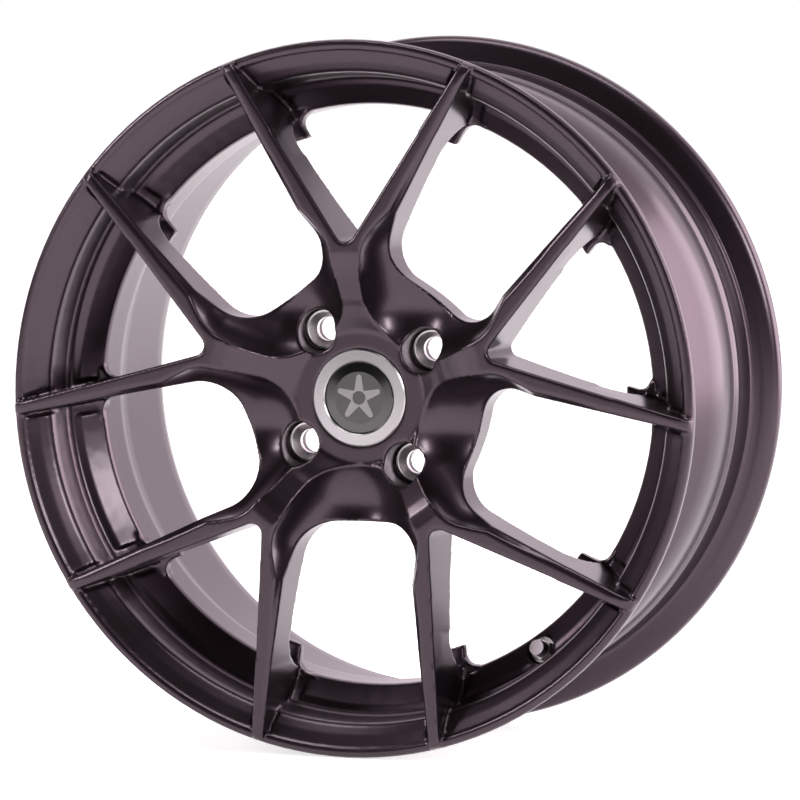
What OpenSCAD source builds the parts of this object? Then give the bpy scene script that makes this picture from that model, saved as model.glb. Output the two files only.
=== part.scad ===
/* [Rim] */
// Nominal rim diameter in inches
rim_inches = 16; // [15:1:17]
// Nominal width between the flanges in inches
width_inches = 7; // [6.5:0.5:8]
// Height of the tyre flange above the bead seat
flange_h = 17.3; // [16:0.1:18]
// Thickness of each tyre flange along the axis
flange_w = 13; // [11:0.5:14]
// Offset of the mounting face in front of the rim's middle
offset_et = 42; // [35:1:45]
// Depth of the drop centre below the bead seat
well_depth = 17.4; // [14:0.1:18]

/* [Hub] */
// Diameter of the stud circle
stud_circle = 100; // [98:1:108]
// Number of stud holes
stud_count = 4; // [4:1:4]
// Diameter of each stud hole
stud_hole_d = 15; // [14:0.5:16]
// Diameter of the recess that a wheel nut sits in
nut_pocket_d = 27; // [26:0.5:29]
// Diameter of the centre bore that fits the car's hub
centre_bore_d = 73.1; // [66:0.1:74]
// Diameter of the bore that the centre cap clips into
cap_bore_d = 58.4; // [56:0.1:60]
// Diameter of the mounting face
pad_d = 144; // [138:1:148]

/* [Spokes] */
// Number of forked spokes
fork_count = 5; // [5:1:5]
// How far the spokes stand in front of the flange
spoke_proud = 5; // [3:0.5:6]
// Angle of each arm from its fork's middle line
arm_angle = 33.2; // [32:0.1:34]
// Distance from the axis to the point where the arms' inner edges meet
arm_vertex = 92.2; // [90:0.2:95]
// Width of an arm and its flank at the tip
arm_w = 4.6; // [4:0.1:6]
// Radius of the scoop between two spokes
scoop_r = 34; // [32:1:35]

/* [Hidden] */
$fn = 96;
inch = 25.4;
bead_r = rim_inches * inch / 2 - 0.4;
rim_r = bead_r + flange_h;
total_w = width_inches * inch + 2 * flange_w;
// depth of the mounting face behind the front flange
face = total_w / 2 - offset_et;
well_r = bead_r - well_depth;
// inner surface of the rim behind the spokes
window_r = well_r - 5.1;
fork_step = 360 / fork_count;
paint = "#4a4146";
paint_light = "#5a5056";
steel = "#b9b4b2";
// depths behind the front flange at the hub
hub_front = 24;
cap_step = 36;
bore_front = 45;
nut_floor = 43;
seat_end = 54;
seat_r = 12;
split_r = 86;
window_bottom = 77;
stud_r = stud_circle / 2;
first_stud = 54;
valve_angle = 2 * fork_step;
valve_lean = 20;
valve_hole_d = 10;
// where the valve's outer washer and inner seal sit
valve_front = 4;
valve_back = 12.5;

// --- helpers: depth d runs from the front flange towards the car ---
module revolve(points) {
    rotate([-90, 0, 0]) rotate_extrude() polygon([for (p = points) [p[0], p[1] - face]]);
}
module plate(d0, d1) {
    translate([0, d1 - face, 0]) rotate([90, 0, 0]) linear_extrude(d1 - d0) children();
}
module turned(angle) {
    rotate([0, angle, 0]) children();
}
module disc(r, d0, d1) {
    translate([0, d0 - face, 0]) rotate([-90, 0, 0]) cylinder(h = d1 - d0, r = r);
}
// a tapered rod that meets the balls [x, z, depth, radius] at its two ends smoothly
module rod(a, b, lap = 0) {
    v = [b[0] - a[0], b[2] - a[2], b[1] - a[1]];
    length = norm(v);
    slope = asin((a[3] - b[3]) / length);
    start = a[3] * sin(slope) - lap;
    end = length + b[3] * sin(slope) + lap;
    translate([a[0], a[2] - face, a[1]]) rotate([0, acos(v[2] / length), atan2(v[1], v[0])])
        translate([0, 0, start]) cylinder(h = end - start,
            r1 = (a[3] - rod_inset) * cos(slope) + lap * tan(slope),
            r2 = (b[3] - rod_inset) * cos(slope) - lap * tan(slope));
}
module ball(a) {
    translate([a[0], a[2] - face, a[1]]) sphere(r = a[3]);
}
// centre of a corner circle: on a line through [0, a] at angle phi, at distance dist from the axis
function on_ring(a, phi, dist) =
    let (s = -a * cos(phi) + sqrt(dist * dist - pow(a * sin(phi), 2))) [s * sin(phi), a + s * cos(phi)];

// --- rim cross-section ---
back = total_w;
front_faces = [[rim_r, 3], [rim_r - 0.8, 0.9], [rim_r - 2.5, 0], [rim_r - 5.7, 0.4],
    [rim_r - 6.5, 2.6], [rim_r - 7.3, 2.4], [rim_r - 13.5, 6.4], [rim_r - 18.5, 10.4], [rim_r - 20.1, 12.4]];
recess = [[rim_r - 20.7, 17], [rim_r - 21.7, 33], [rim_r - 23.6, 37.2], [rim_r - 28.3, 39.6]];
bore_side = [[window_r, 50], [window_r - 0.7, 53], [window_r - 0.7, 79], [window_r + 2.7, 91],
    [bead_r - 9.3, 115], [bead_r - 6.8, 123], [bead_r - 6.8, back - 14], [bead_r - 4.3, back - 4.8],
    [bead_r - 2.3, back - 1.2], [bead_r + 0.2, back]];
rear_lip = [[rim_r - 2.5, back], [rim_r - 0.8, back - 0.9], [rim_r, back - 3], [rim_r, back - 6.3],
    [rim_r - 0.9, back - 8.6], [rim_r - 3.1, back - 10.6], [rim_r - 7.1, back - 12.2]];
rear_seat = [[bead_r + 5.2, back - 13], [bead_r + 1.8, back - 13.8], [bead_r, back - 16.2],
    [bead_r - 1.6, back - 35], [bead_r - 0.4, back - 38.5], [bead_r - 0.4, back - 41.5],
    [bead_r - 1.9, back - 46], [bead_r - 1.9, 127]];
well = [[well_r + 1.5, 93], [well_r, 88], [well_r, 70], [well_r + 2, 65], [well_r + 6.1, 59],
    [bead_r - 3.4, 47]];
front_seat = [[bead_r - 0.6, 41.5], [bead_r - 0.6, 38.5], [bead_r - 1.6, 35], [bead_r, 16.2],
    [bead_r + 1.8, 13.8], [bead_r + 5.2, 13], [rim_r - 7.1, 12.2], [rim_r - 3.1, 10.6], [rim_r - 0.9, 8.6],
    [rim_r, 6.3]];
module rim_blank() {
    revolve(concat(front_faces, recess, bore_side, rear_lip, rear_seat, well, front_seat));
}

// --- spokes ---
edge_slope = tan(arm_angle);
outer_angle = arm_angle - 4.3;
window_side = fork_step / 2 - outer_angle;
// point on the arm's window-side edge, in the middle of the arm
side_point = [29.9, 111.6];
arm_axis = [sin(arm_angle), cos(arm_angle)];
arm_normal = [cos(arm_angle), -sin(arm_angle)];
tip_z = 205;
// balls that hollow the valley and the flank of each arm, from the valley's middle out: [x, z, depth, radius]
valley_ball = [38.8, 53.4, 0, scoop_r];
knee_ball = [36, 86, -5, 26];
flank_ball = [42.2, 105, -11, 18.4];
flank = [flank_ball, [61.1, 149.1, -17, 17], [77.6, 181.1, -17, 16], [92.2, 207.2, -16, 15]];
// how far a rod's surface stays inside its balls, and how far rods without balls overlap
rod_inset = 0.06;
rod_lap = 1.5;
front_line = [[41, hub_front], [42.5, hub_front - 0.8], [50, 17.6], [57, 13], [61, 9.6], [65.5, 6.6],
    [71, 2.8], [76, -0.5], [82, -3.5], [90, -spoke_proud], [206, -spoke_proud], [214, -spoke_proud + 0.7],
    [218, -spoke_proud + 2.6], [rim_r - 0.6, 0.2]];
rear_line = [[rim_r - 1, 4], [210, 8.5], [203.5, 12], [201.2, 17], [199.6, 34], [195.5, 42], [186, 52],
    [window_r + 0.6, 57], [177.5, 48], [174, 40], [168, 32], [160, 27.5], [140, 29], [120, 33], [95, 41], [80, 46],
    [pad_d / 2 + 2.5, 57.5], [pad_d / 2, face]];
module spoke_blank() {
    revolve(concat([[0, hub_front]], front_line, rear_line, [[0, face]]));
}
module flare_blank() {
    revolve([[164, 48.5], [176, 48.5], [184, 48], [190.5, 43], [192, 50], [186, 56], [window_r, 57.5], [164, 55]]);
}
module arm_strip(width_in = 0, width_out = arm_w, from = 120) {
    inner = arm_vertex;
    // the outer edge runs as the window's side does
    widening = (tip_z + 25 - from) * 0.09;
    polygon([[(from - inner) * edge_slope - width_in * arm_normal[0], from - width_in * arm_normal[1]],
        [(tip_z + 25 - inner) * edge_slope - width_in * arm_normal[0], tip_z + 25 - width_in * arm_normal[1]],
        [(tip_z + 25 - inner) * edge_slope + width_out * arm_normal[0], tip_z + 25 + width_out * arm_normal[1]],
        [(from - inner) * edge_slope + (width_out + widening) * arm_normal[0],
            from + (width_out + widening) * arm_normal[1]]]);
}
module both_arms() {
    children();
    mirror([1, 0, 0]) children();
}
module fork_window(grow, d) {
    apex = 6;
    corner = 8;
    translate([0, d - face, 0]) rotate([90, 0, 0]) linear_extrude(0.02) hull() {
        translate([0, arm_vertex + apex / sin(arm_angle)]) circle(r = apex + grow, $fn = 32);
        both_arms() translate(on_ring(arm_vertex + corner / sin(arm_angle), arm_angle, window_r - corner))
            circle(r = corner + grow, $fn = 32);
        for (a = [-8, 0, 8])
            rotate(a) translate([0, window_r - corner]) circle(r = corner + grow, $fn = 32);
    }
}
module fork_punch() {
    hull() {
        fork_window(0.6, -spoke_proud - 4);
        fork_window(-1.6, 60);
    }
}
inner_corner = 24;
side_a = [side_point[0] * cos(fork_step / 2) - side_point[1] * sin(fork_step / 2),
    side_point[0] * sin(fork_step / 2) + side_point[1] * cos(fork_step / 2)];
// where the window's two sides would meet, far behind the axis
side_vertex = side_a[1] + side_a[0] / tan(window_side);
corner_z = window_bottom + inner_corner;
corner_x = (corner_z - side_vertex) * tan(window_side) - inner_corner / cos(window_side);
module valley_window() {
    corner = 9;
    hull() {
        both_arms() translate([corner_x, corner_z]) circle(r = inner_corner, $fn = 64);
        both_arms() translate(on_ring(side_vertex + corner / sin(window_side), window_side, window_r - corner))
            circle(r = corner, $fn = 48);
        for (a = [-6, 0, 6])
            rotate(a) translate([0, window_r - corner]) circle(r = corner, $fn = 48);
    }
}
// the part of a window that reaches into the hub
module hub_punch() {
    turned(fork_step / 2) plate(-spoke_proud - 4, face + 1) {
        both_arms() translate([corner_x, corner_z]) circle(r = inner_corner, $fn = 64);
        translate([-corner_x, window_bottom]) square([2 * corner_x, inner_corner]);
    }
}
module valley_punch(angle) {
    turned(angle) plate(-spoke_proud - 4, face + 1) valley_window();
}
// one side of the scoop between two forks, from the valley's middle out along the arm
module knee_cut() {
    rod(valley_ball, knee_ball);
    ball(knee_ball);
}
module flank_cut() {
    ball(valley_ball);
    knee_cut();
    rod(knee_ball, flank_ball);
    ball(flank_ball);
    rod(flank[0], flank[1]);
    for (i = [1 : len(flank) - 2]) rod(flank[i], flank[i + 1], rod_lap);
}
// recesses in the rim beside every arm
module beside_arms() {
    for (i = [0 : fork_count - 1]) turned(i * fork_step) {
        intersection() {
            revolve([[170, 16], [rim_r - 22.3, 16], [rim_r - 22.5, 31], [rim_r - 24.3, 37.5], [190.5, 43],
                [184, 48], [window_r + 1.4, 51], [window_r + 0.7, 57], [170, 57]]);
            plate(10, 63) both_arms() arm_strip(4.5, arm_w + 7.6, 150);
        }
        intersection() {
            revolve([[rim_r - 22.5, -1], [rim_r - 6.9, -1], [rim_r - 7.3, 4.4], [rim_r - 13.5, 9],
                [rim_r - 18.8, 14], [rim_r - 20.6, 19], [rim_r - 22.5, 33]]);
            plate(-2, 40) both_arms() arm_strip(3.6, arm_w + 3.4, 185);
        }
    }
}
// the valve's own frame: origin on the rim's inner slope, local Z into the tyre
module at_valve() {
    turned(valve_angle) translate([0, 42.2 - face, 189]) rotate([valve_lean - 90, 0, 0]) children();
}
module valve_disc(r, z0, z1) {
    translate([0, 0, z0]) cylinder(h = z1 - z0, r = r);
}
module valve_hole() {
    at_valve() {
        valve_disc(valve_hole_d / 2, -10, 26);
        valve_disc(9.6, -30, valve_front);
        valve_disc(8.2, valve_back, 26);
    }
}
module rim() {
    difference() {
        rim_blank();
        beside_arms();
        valve_hole();
    }
}
module rim_part(d0, d1) {
    intersection() {
        rim();
        revolve([[150, d0], [240, d0], [240, d1], [150, d1]]);
    }
}
module front_rim() {
    color(paint) rim_part(-2, 64);
}
module drop_centre() {
    color(paint_light) rim_part(64, 98);
}
module rear_barrel() {
    color(paint) rim_part(98, 156);
}
module rear_flange() {
    color(paint_light) rim_part(156, total_w + 2);
}

module fork() {
    difference() {
        union() {
            intersection() {
                spoke_blank();
                plate(-spoke_proud - 2, 60) difference() {
                    polygon([[0, 0], [155 * sin(36), 155 * cos(36)], [0, 155 / cos(18)], [-155 * sin(36), 155 * cos(36)]]);
                    circle(r = split_r);
                }
            }
            intersection() {
                spoke_blank();
                plate(-spoke_proud - 2, 60) both_arms() arm_strip();
            }
            intersection() {
                flare_blank();
                plate(20, 60) both_arms() arm_strip(9, arm_w + 12, 130);
            }
        }
        fork_punch();
        valley_punch(fork_step / 2);
        valley_punch(-fork_step / 2);
        both_arms() flank_cut();
        rim();
    }
}
module y_spoke(i) {
    color(paint) turned(i * fork_step) fork();
}

// --- hub ---
module each_stud() {
    for (i = [0 : stud_count - 1]) turned(first_stud + i * 360 / stud_count) translate([0, 0, stud_r]) children();
}
module hub() {
    color(paint_light) difference() {
        intersection() {
            spoke_blank();
            disc(split_r, -spoke_proud - 2, face);
        }
        for (i = [0 : fork_count - 1]) turned(i * fork_step) {
            hub_punch();
            ball(valley_ball);
            both_arms() knee_cut();
        }
        disc(cap_bore_d / 2, 0, cap_step + 1);
        disc(cap_bore_d / 2 + 1.8, cap_step, bore_front + 1);
        disc(centre_bore_d / 2, bore_front, face + 1);
        revolve([[0, face - 1.5], [centre_bore_d / 2, face - 1.5], [centre_bore_d / 2 + 2, face + 0.5], [0, face + 0.5]]);
        each_stud() {
            disc(nut_pocket_d / 2, -spoke_proud - 4, nut_floor);
            disc(seat_r, nut_floor - 1, seat_end);
            disc(stud_hole_d / 2, seat_end - 1, face + 1);
        }
    }
}
module nut_seat(i) {
    color(steel) turned(first_stud + (i - 1) * 360 / stud_count) translate([0, 0, stud_r])
        revolve([[stud_hole_d / 2, 49.6], [10.9, nut_floor + 0.7], [10.9, nut_floor], [seat_r, nut_floor],
            [seat_r, seat_end], [stud_hole_d / 2, seat_end]]);
}

// --- centre cap ---
cap_front = 22.5;
leg_r = cap_bore_d / 2 - 0.2;
module cap_body() {
    color("#17171a") {
        revolve([[0, 24.6], [28.6, 24.6], [28.6, 25.2], [leg_r, 25.6], [leg_r, 27.6], [0, 27.6]]);
        difference() {
            revolve([[leg_r - 2.4, 27], [leg_r - 0.6, 27], [leg_r - 0.6, cap_step - 0.4], [leg_r, cap_step + 0.6],
                [leg_r - 1.2, 40.5], [leg_r - 2.4, 40.5], [leg_r - 2.4, 37.4], [leg_r - 1.6, 36.4],
                [leg_r - 1.6, 35.2], [leg_r - 2.4, 34.2]]);
            for (i = [0 : 5]) turned(i * 60) plate(28.5, 42) translate([-3, 20]) square([6, 14]);
        }
    }
}
module cap_bezel() {
    color(steel) revolve([[22.4, cap_front + 0.7], [23.1, cap_front], [29.2, cap_front + 0.2], [30, cap_front + 0.9],
        [30, hub_front], [28.6, hub_front], [28.6, 24.6], [22.4, 24.6]]);
}
module cap_badge() {
    color("#060607") revolve([[0, 23.2], [16, 23.2], [21.4, 23.5], [22.2, 24], [22.2, 24.6], [0, 24.6]]);
}
// a plain five-rayed star on the badge
module cap_emblem() {
    color("#8d8a8b") plate(22.85, 23.2) difference() {
        union() for (i = [0 : 4]) rotate(i * 72) polygon([[-3.2, 3.4], [-1.5, 13.6], [0, 14.6], [1.5, 13.6], [3.2, 3.4]]);
        circle(r = 4.2);
    }
}
module cap_spring_ring() {
    color("#8f8f90") translate([0, 35.8 - face, 0]) rotate([-90, 0, 0]) rotate_extrude()
        translate([leg_r - 2.55, 0]) circle(r = 0.9, $fn = 24);
}

// --- valve ---
stem_r = 3.9;
stem_top = -3.4;
foot = valve_back + 1.6;
module valve_stem() {
    color("#8f8c8a") at_valve() difference() {
        union() {
            valve_disc(stem_r, stem_top, foot + 1);
            valve_disc(7.4, foot, foot + 1.8);
        }
        valve_disc(2.4, stem_top - 1, 6);
        valve_disc(1.4, 5, foot + 3);
    }
}
module valve_seal() {
    color("#1b1a1b") at_valve() difference() {
        union() {
            valve_disc(7.6, valve_back, foot);
            valve_disc(valve_hole_d / 2, valve_front + 0.6, valve_back + 1);
        }
        valve_disc(stem_r, -10, 20);
    }
}
module valve_washer() {
    color("#9b9897") at_valve() difference() {
        valve_disc(8, valve_front - 1, valve_front);
        valve_disc(stem_r, -10, 20);
    }
}
module valve_nut() {
    color("#6d686b") at_valve() difference() {
        intersection() {
            valve_disc(7, valve_front - 3.6, valve_front - 1);
            translate([0, 0, -10]) cylinder(h = 20, r = 12 / sqrt(3), $fn = 6);
        }
        valve_disc(stem_r, -10, 20);
    }
}
module valve_core() {
    color("#b59a55") at_valve() difference() {
        valve_disc(2.4, stem_top + 0.4, 5.6);
        valve_disc(0.78, -10, 8);
    }
}
module core_pin() {
    color("#c8ad62") at_valve() valve_disc(0.7, stem_top + 0.1, 6);
}
module valve_cap() {
    color("#2a2729") at_valve() difference() {
        union() {
            valve_disc(4.8, stem_top - 1.9, 0);
            valve_disc(5, -1.2, 0);
        }
        valve_disc(stem_r + 0.15, stem_top - 0.7, 1);
    }
}
module valve_cap_gasket() {
    color("#141314") at_valve() difference() {
        valve_disc(stem_r - 0.1, stem_top - 0.7, stem_top - 0.1);
        valve_disc(1.6, stem_top - 2, 0);
    }
}

front_rim();
drop_centre();
rear_barrel();
rear_flange();
hub();
y_spoke(0);  // y_spoke_1
y_spoke(1);  // y_spoke_2
y_spoke(2);  // y_spoke_3
y_spoke(3);  // y_spoke_4
y_spoke(4);  // y_spoke_5
nut_seat(1);  // nut_seat_1
nut_seat(2);  // nut_seat_2
nut_seat(3);  // nut_seat_3
nut_seat(4);  // nut_seat_4
cap_body();
cap_bezel();
cap_badge();
cap_emblem();
cap_spring_ring();
valve_stem();
valve_seal();
valve_washer();
valve_nut();
valve_core();
core_pin();
valve_cap();
valve_cap_gasket();
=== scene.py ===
import math

import bmesh
import bpy
from mathutils import Matrix, Vector


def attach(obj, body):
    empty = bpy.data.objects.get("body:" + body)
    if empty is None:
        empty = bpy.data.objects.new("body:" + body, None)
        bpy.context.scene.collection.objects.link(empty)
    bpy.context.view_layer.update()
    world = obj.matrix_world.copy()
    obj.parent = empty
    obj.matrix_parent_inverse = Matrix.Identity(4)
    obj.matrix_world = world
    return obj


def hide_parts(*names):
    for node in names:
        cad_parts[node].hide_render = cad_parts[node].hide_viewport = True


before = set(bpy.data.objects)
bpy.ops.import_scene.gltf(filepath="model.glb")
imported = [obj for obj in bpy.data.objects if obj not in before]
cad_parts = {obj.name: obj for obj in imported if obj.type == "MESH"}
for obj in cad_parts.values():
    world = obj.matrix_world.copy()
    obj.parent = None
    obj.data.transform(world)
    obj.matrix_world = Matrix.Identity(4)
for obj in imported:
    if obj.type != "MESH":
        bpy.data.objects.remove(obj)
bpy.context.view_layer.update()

# ---------------------------------------------------------------- sizes, in metres
MM = 0.001
FORKS = 5
FORK_STEP = math.tau / FORKS
FRONT = -0.0599            # front flange's face
FLANGE_R = 0.2201
FACE_END = FRONT + 66 * MM  # the spoked face is one skin as far back as this
HUB_CUT = 84 * MM           # flats that divide the hub from the forks
STUD_R = 50 * MM
FIRST_STUD = math.radians(54)
GRID = 1.0 * MM             # cell of the skin over the forging
BARREL = ("drop_centre", "rear_barrel", "rear_flange")
DIVISIONS = (FRONT + 98 * MM, FRONT + 156 * MM)  # where those three meet

# ---------------------------------------------------------------- camera
CAMERA_AZIMUTH = math.radians(19.05)
CAMERA_HEIGHT = math.radians(4.15)
CAMERA_DISTANCE = 3.633
camera = bpy.data.objects.new("camera", bpy.data.cameras.new("camera"))
bpy.context.scene.collection.objects.link(camera)
bpy.context.scene.camera = camera
camera.data.lens = 267.6
camera.data.sensor_width = 36
camera.data.clip_end = 60
back = Vector((math.sin(CAMERA_AZIMUTH) * math.cos(CAMERA_HEIGHT),
               -math.cos(CAMERA_AZIMUTH) * math.cos(CAMERA_HEIGHT), math.sin(CAMERA_HEIGHT)))
aside = Vector((math.cos(CAMERA_AZIMUTH), math.sin(CAMERA_AZIMUTH), 0))
camera.location = Vector((0, -0.0569, 0)) + back * CAMERA_DISTANCE + aside * 0.0317
camera.rotation_euler = (-back).to_track_quat("-Z", "Y").to_euler()


# ---------------------------------------------------------------- colour and node helpers
def linear(hex_colour):
    """sRGB hex to the linear colour that a shader takes."""
    parts = [int(hex_colour[i:i + 2], 16) / 255 for i in (1, 3, 5)]
    return tuple(c / 12.92 if c <= 0.04045 else ((c + 0.055) / 1.055) ** 2.4 for c in parts) + (1.0,)


def add(tree, kind, settings=None, **inputs):
    """Adds a node. settings are its properties; inputs are values, or sockets to link."""
    node = tree.nodes.new(kind)
    for key, value in (settings or {}).items():
        setattr(node, key, value)
    for key, value in inputs.items():
        socket = node.inputs[int(key[1:])] if key[0] == "i" and key[1:].isdigit() else node.inputs[
            key.replace("_", " ")]
        if isinstance(value, bpy.types.NodeSocket):
            tree.links.new(value, socket)
        else:
            socket.default_value = value
    return node


def blank(name):
    """A material with an empty node tree, and its Principled shader joined to the output."""
    material = bpy.data.materials.new(name)
    material.use_nodes = True
    tree = material.node_tree
    tree.nodes.clear()
    shader = add(tree, "ShaderNodeBsdfPrincipled")
    add(tree, "ShaderNodeOutputMaterial", Surface=shader.outputs[0])
    return material, tree, shader


def bump(tree, shader, height, strength, distance):
    made = add(tree, "ShaderNodeBump", Strength=strength, Distance=distance, Height=height)
    tree.links.new(made.outputs[0], shader.inputs["Normal"])


def set_values(shader, **values):
    for key, value in values.items():
        shader.inputs[key.replace("_", " ")].default_value = value


# ---------------------------------------------------------------- materials
def gunmetal_enamel():
    """Satin two-coat metallic enamel, sprayed and baked: fine flake under a slightly rough lacquer."""
    material, tree, shader = blank("gunmetal_enamel")
    place = add(tree, "ShaderNodeTexCoord").outputs["Object"]
    # the flake is really about 0.04 mm; it is drawn at 0.6 mm so that it shows at all
    flake = add(tree, "ShaderNodeTexVoronoi", {"feature": "F1"}, Vector=place, Scale=1700.0)
    cloud = add(tree, "ShaderNodeTexNoise", Vector=place, Scale=22.0, Detail=3.0)
    tone = add(tree, "ShaderNodeMapRange", Value=flake.outputs["Color"], To_Min=-0.25, To_Max=0.25)
    spread = add(tree, "ShaderNodeMapRange", Value=cloud.outputs["Fac"], To_Min=0.35, To_Max=0.65)
    mixed = add(tree, "ShaderNodeMath", {"operation": "ADD"}, i0=tone.outputs[0], i1=spread.outputs[0])
    colour = add(tree, "ShaderNodeValToRGB", Fac=mixed.outputs[0])
    colour.color_ramp.elements[0].color = linear("#372c32")
    colour.color_ramp.elements[1].color = linear("#463a41")
    tree.links.new(colour.outputs["Color"], shader.inputs["Base Color"])
    rough = add(tree, "ShaderNodeMapRange", Value=cloud.outputs["Fac"], To_Min=0.27, To_Max=0.34)
    tree.links.new(rough.outputs[0], shader.inputs["Roughness"])
    # orange peel of the sprayed coat, about 2 mm from crest to crest
    peel = add(tree, "ShaderNodeTexNoise", Vector=place, Scale=500.0, Detail=1.0)
    bump(tree, shader, peel.outputs["Fac"], 0.12, 0.00005)
    set_values(shader, Metallic=0.9, Coat_Weight=0.3, Coat_Roughness=0.18)
    return material


def turned_alloy():
    """Bare aluminium alloy, turned to a cone by a form tool: bright, with fine rings."""
    material, tree, shader = blank("turned_alloy")
    place = add(tree, "ShaderNodeTexCoord").outputs["Object"]
    # the four seats fold onto one, so that the rings run about each stud's own axis
    spun = add(tree, "ShaderNodeVectorRotate", {"rotation_type": "Y_AXIS"}, Vector=place, Angle=FIRST_STUD)
    folded = add(tree, "ShaderNodeVectorMath", {"operation": "ABSOLUTE"}, i0=spun.outputs[0])
    part = add(tree, "ShaderNodeSeparateXYZ", Vector=folded.outputs[0])
    far = add(tree, "ShaderNodeMath", {"operation": "MAXIMUM"}, i0=part.outputs["X"], i1=part.outputs["Z"])
    near = add(tree, "ShaderNodeMath", {"operation": "MINIMUM"}, i0=part.outputs["X"], i1=part.outputs["Z"])
    beyond = add(tree, "ShaderNodeMath", {"operation": "SUBTRACT"}, i0=far.outputs[0], i1=STUD_R)
    joined = add(tree, "ShaderNodeCombineXYZ", X=beyond.outputs[0], Y=near.outputs[0])
    ring = add(tree, "ShaderNodeVectorMath", {"operation": "LENGTH"}, i0=joined.outputs[0])
    # tool rings 0.4 mm apart
    wave = add(tree, "ShaderNodeTexNoise", {"noise_dimensions": "1D"}, W=ring.outputs["Value"], Scale=2500.0,
               Detail=2.0)
    tone = add(tree, "ShaderNodeValToRGB", Fac=wave.outputs["Fac"])
    tone.color_ramp.elements[0].color = linear("#bdb9ba")
    tone.color_ramp.elements[1].color = linear("#e6e3e3")
    tree.links.new(tone.outputs["Color"], shader.inputs["Base Color"])
    bump(tree, shader, wave.outputs["Fac"], 0.3, 0.00004)
    set_values(shader, Metallic=1.0, Roughness=0.3)
    return material


def brushed_alloy():
    """Aluminium ring, brushed while turning: hair lines follow the ring and stretch the glints."""
    material, tree, shader = blank("brushed_alloy")
    place = add(tree, "ShaderNodeTexCoord").outputs["Object"]
    flat = add(tree, "ShaderNodeVectorMath", {"operation": "MULTIPLY"}, i0=place, i1=(1, 0, 1))
    radius = add(tree, "ShaderNodeVectorMath", {"operation": "LENGTH"}, i0=flat.outputs[0])
    # hair lines 0.15 mm apart, drawn at 0.3 mm
    hair = add(tree, "ShaderNodeTexNoise", {"noise_dimensions": "1D"}, W=radius.outputs["Value"], Scale=3300.0,
               Detail=2.0)
    tone = add(tree, "ShaderNodeValToRGB", Fac=hair.outputs["Fac"])
    tone.color_ramp.elements[0].color = linear("#8f8c8e")
    tone.color_ramp.elements[1].color = linear("#c9c6c7")
    tree.links.new(tone.outputs["Color"], shader.inputs["Base Color"])
    bump(tree, shader, hair.outputs["Fac"], 0.2, 0.00003)
    set_values(shader, Metallic=1.0, Roughness=0.3)
    return material


def plain(name, colour, metallic, roughness, grain_scale, grain, coat=0.0):
    """A finish with only a fine grain: its colour and roughness drift a little with the grain."""
    material, tree, shader = blank(name)
    place = add(tree, "ShaderNodeTexCoord").outputs["Object"]
    field = add(tree, "ShaderNodeTexNoise", Vector=place, Scale=grain_scale, Detail=3.0)
    tone = add(tree, "ShaderNodeValToRGB", Fac=field.outputs["Fac"])
    low, high = (tuple(c * f for c in linear(colour)[:3]) + (1.0,) for f in (0.8, 1.2))
    tone.color_ramp.elements[0].color = low
    tone.color_ramp.elements[1].color = high
    tree.links.new(tone.outputs["Color"], shader.inputs["Base Color"])
    rough = add(tree, "ShaderNodeMapRange", Value=field.outputs["Fac"], To_Min=roughness * 0.85,
                To_Max=roughness * 1.15)
    tree.links.new(rough.outputs[0], shader.inputs["Roughness"])
    bump(tree, shader, field.outputs["Fac"], grain, 0.0001)
    set_values(shader, Metallic=metallic, Coat_Weight=coat, Coat_Roughness=0.08)
    return material


ENAMEL = gunmetal_enamel()
SEAT = turned_alloy()
BRUSHED = brushed_alloy()
# injection-moulded ABS under a clear dome: deep black with a hard gloss
BLACK_GLOSS = plain("black_gloss_abs", "#060607", 0.0, 0.12, 60, 0.02, coat=1.0)
# moulded nylon of the cap's shell: matt black with a spark-eroded grain of about 0.3 mm
BLACK_NYLON = plain("black_nylon", "#18181a", 0.0, 0.55, 3000, 0.15)
# pad-printed silver ink: flat metallic grey
SILVER_INK = plain("silver_ink", "#8c898b", 0.5, 0.42, 1500, 0.05)
# drawn spring steel wire
SPRING_STEEL = plain("spring_steel", "#8e8d90", 1.0, 0.25, 1200, 0.05)
# nickel-plated brass of the valve: satin, warm grey
PLATED_BRASS = plain("plated_brass", "#8a8285", 0.9, 0.36, 900, 0.06)
# bare brass of the valve's inner parts
BRASS = plain("bare_brass", "#b59655", 1.0, 0.3, 900, 0.05)
# moulded EPDM rubber: matt black
RUBBER = plain("epdm_rubber", "#1a191a", 0.0, 0.7, 1800, 0.2)
# anodised aluminium of the valve's cap, close to the wheel's own tone
ANODISED = plain("anodised_cap", "#776d72", 0.9, 0.38, 1500, 0.05)


# ---------------------------------------------------------------- mesh helpers
def finish_piece(bm, name, material, body, slot, *nodes, smooth=True):
    """Turns a bmesh into a piece that rides on a body and stands for the given CAD nodes."""
    mesh = bpy.data.meshes.new(name)
    bm.to_mesh(mesh)
    bm.free()
    piece = bpy.data.objects.new(name, mesh)
    bpy.context.scene.collection.objects.link(piece)
    mesh.materials.append(material)
    mesh.polygons.foreach_set("use_smooth", [smooth] * len(mesh.polygons))
    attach(piece, body)
    if nodes:
        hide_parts(*nodes)
    return piece


def turn(angle):
    """Rotation about the wheel's axis, clockwise as seen from the front."""
    return Matrix.Rotation(angle, 4, "Y")


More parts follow.
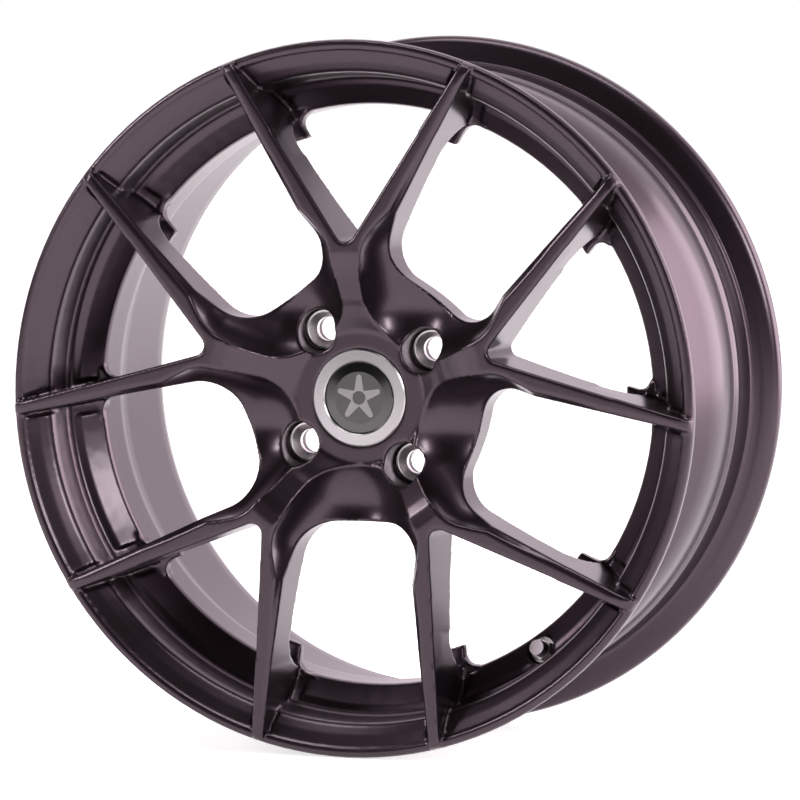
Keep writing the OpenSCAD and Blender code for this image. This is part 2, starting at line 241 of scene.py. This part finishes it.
def skin_of(names):
    """One closed skin over CAD solids that touch, with small rounds on every edge."""
    bm = bmesh.new()
    for name in names:
        bm.from_mesh(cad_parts[name].data)
    bmesh.ops.remove_doubles(bm, verts=bm.verts, dist=2e-6)
    mesh = bpy.data.meshes.new("skin")
    bm.to_mesh(mesh)
    bm.free()
    raw = bpy.data.objects.new("skin", mesh)
    bpy.context.scene.collection.objects.link(raw)
    cells = raw.modifiers.new("cells", "REMESH")
    cells.mode = "VOXEL"
    cells.voxel_size = GRID
    ease = raw.modifiers.new("ease", "SMOOTH")
    ease.factor = 0.5
    ease.iterations = 4
    depsgraph = bpy.context.evaluated_depsgraph_get()
    done = bpy.data.meshes.new_from_object(raw.evaluated_get(depsgraph))
    bpy.data.objects.remove(raw)
    bm = bmesh.new()
    bm.from_mesh(done)
    bpy.data.meshes.remove(done)
    return bm


def keep_side(bm, point, normal):
    """Cuts away what lies on the normal's side of a plane, and closes the cut with a flat face."""
    cut = bmesh.ops.bisect_plane(bm, geom=bm.verts[:] + bm.edges[:] + bm.faces[:], dist=1e-7,
                                 plane_co=point, plane_no=normal, clear_outer=True)
    edges = [e for e in cut["geom_cut"] if isinstance(e, bmesh.types.BMEdge)]
    for edge in edges:
        edge.smooth = False
    bmesh.ops.holes_fill(bm, edges=edges, sides=0)


# ---------------------------------------------------------------- the spoked face
def spoked_face():
    forks = [f"y_spoke_{i + 1}" for i in range(FORKS)]
    skin = skin_of(["hub", "front_rim", "drop_centre"] + forks)
    hub = skin.copy()
    for i in range(FORKS):
        out = turn(i * FORK_STEP) @ Vector((0, 0, 1))
        keep_side(hub, out * HUB_CUT, out)
    finish_piece(hub, "hub_skin", ENAMEL, "wheel", "gunmetal_paint", "hub")
    for i in range(FORKS):
        sector = skin.copy()
        middle = turn(i * FORK_STEP)
        keep_side(sector, middle @ Vector((0, 0, HUB_CUT)), middle @ Vector((0, 0, -1)))
        for side in (-1, 1):
            edge = middle @ turn(side * FORK_STEP / 2)
            keep_side(sector, (0, 0, 0), edge @ Vector((side, 0, 0)))
        keep_side(sector, (0, FACE_END, 0), (0, 1, 0))
        finish_piece(sector, f"fork_{i + 1}", ENAMEL, "wheel", "gunmetal_paint", f"y_spoke_{i + 1}", "front_rim")
    skin.free()


def barrel():
    """Everything behind the spoked face: the CAD's own section, turned in 256 steps."""
    bm = bmesh.new()
    for name in BARREL:
        bm.from_mesh(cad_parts[name].data)
    for point, normal, both in (((0, 0, 0), (1, 0, 0), True), ((0, 0, 0), (0, 0, -1), False),
                                ((0, FACE_END, 0), (0, -1, 0), False)):
        bmesh.ops.bisect_plane(bm, geom=bm.verts[:] + bm.edges[:] + bm.faces[:], dist=1e-7, plane_co=point,
                               plane_no=normal, clear_outer=True, clear_inner=both)
    inner = [e for e in bm.edges if any(all(abs(v.co.y - level) < 1e-5 for v in e.verts) for level in DIVISIONS)]
    bmesh.ops.delete(bm, geom=inner, context="EDGES")
    bmesh.ops.remove_doubles(bm, verts=bm.verts, dist=2e-4)
    ends = [v for v in bm.verts if len(v.link_edges) == 1]
    bm.edges.new(ends)
    bmesh.ops.spin(bm, geom=bm.verts[:] + bm.edges[:], cent=(0, 0, 0), axis=(0, 1, 0), angle=math.tau,
                   steps=256, use_merge=True)
    bmesh.ops.recalc_face_normals(bm, faces=bm.faces)
    corners = [e for e in bm.edges if e.calc_face_angle(0) > 0.45]
    seam = [e for e in corners if all(abs(v.co.y - FACE_END) < 1e-5 for v in e.verts)]
    for edge in seam:
        edge.smooth = False
    bmesh.ops.bevel(bm, geom=[e for e in corners if e not in seam], offset=0.4 * MM, segments=2, profile=0.5,
                    affect="EDGES", material=-1)
    finish_piece(bm, "barrel", ENAMEL, "wheel", "gunmetal_paint", *BARREL)


spoked_face()
barrel()

CAD_FINISH = {
    "nut_seat_1": SEAT, "nut_seat_2": SEAT, "nut_seat_3": SEAT, "nut_seat_4": SEAT,
    "cap_body": BLACK_NYLON, "cap_bezel": BRUSHED, "cap_badge": BLACK_GLOSS, "cap_emblem": SILVER_INK,
    "cap_spring_ring": SPRING_STEEL, "valve_stem": PLATED_BRASS, "valve_seal": RUBBER,
    "valve_washer": PLATED_BRASS, "valve_nut": PLATED_BRASS, "valve_core": BRASS, "core_pin": BRASS,
    "valve_cap": ANODISED, "valve_cap_gasket": RUBBER,
}
for name, material in CAD_FINISH.items():
    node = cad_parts[name]
    node.data.materials.clear()
    node.data.materials.append(material)


# ---------------------------------------------------------------- floor, backdrop and lights
def floor():
    bm = bmesh.new()
    bmesh.ops.create_circle(bm, cap_ends=True, cap_tris=False, segments=96, radius=14)
    bmesh.ops.translate(bm, verts=bm.verts, vec=(0, 0, -FLANGE_R - 0.0002))
    mesh = bpy.data.meshes.new("floor")
    bm.to_mesh(mesh)
    bm.free()
    ground = bpy.data.objects.new("floor", mesh)
    bpy.context.scene.collection.objects.link(ground)
    material, tree, shader = blank("studio_floor")
    set_values(shader, Base_Color=linear("#f6f5f5"), Roughness=0.9, Specular_IOR_Level=0.1,
               Emission_Color=linear("#ffffff"), Emission_Strength=0.62)
    mesh.materials.append(material)


def softbox(name, place, target, width, height, power, colour="#ffffff"):
    light = bpy.data.lights.new(name, "AREA")
    light.shape = "RECTANGLE"
    light.size, light.size_y = width, height
    light.energy = power
    light.color = linear(colour)[:3]
    lamp = bpy.data.objects.new(name, light)
    bpy.context.scene.collection.objects.link(lamp)
    lamp.location = place
    lamp.rotation_euler = (Vector(target) - Vector(place)).to_track_quat("-Z", "Y").to_euler()


def backdrop():
    """A white room behind the wheel, and a dimmer one on the side that its spokes face."""
    world = bpy.data.worlds.new("studio")
    bpy.context.scene.world = world
    world.use_nodes = True
    tree = world.node_tree
    tree.nodes.clear()
    way = add(tree, "ShaderNodeTexCoord").outputs["Generated"]
    split = add(tree, "ShaderNodeSeparateXYZ", Vector=way)
    behind = add(tree, "ShaderNodeMapRange", {"interpolation_type": "SMOOTHSTEP"}, Value=split.outputs["Y"],
                 From_Min=-0.35, From_Max=0.45, To_Min=0.03, To_Max=1.5)
    seen = add(tree, "ShaderNodeLightPath").outputs["Is Camera Ray"]
    level = add(tree, "ShaderNodeMix", {"data_type": "FLOAT"}, i0=seen, i2=behind.outputs[0], i3=1.0)
    tint = add(tree, "ShaderNodeMix", {"data_type": "RGBA"}, i0=seen, i6=linear("#f5e6ef"), i7=linear("#ffffff"))
    sky = add(tree, "ShaderNodeBackground", Color=tint.outputs[2], Strength=level.outputs[0])
    add(tree, "ShaderNodeOutputWorld", Surface=sky.outputs[0])


floor()
backdrop()
softbox("left_box", (-2.2, -1.9, 1.3), (0, 0, 0), 0.5, 1.1, 40)
softbox("right_box", (2.6, -1.5, 1.2), (0, 0, 0), 0.5, 1.1, 40)
softbox("top_box", (0, -0.6, 2.6), (0, 0, 0), 2.2, 0.5, 30)
softbox("rear_box", (2.6, 1.5, 0.5), (0, 0, 0), 3.0, 3.0, 150, "#f6e8f0")

bpy.context.scene.view_settings.view_transform = "Standard"
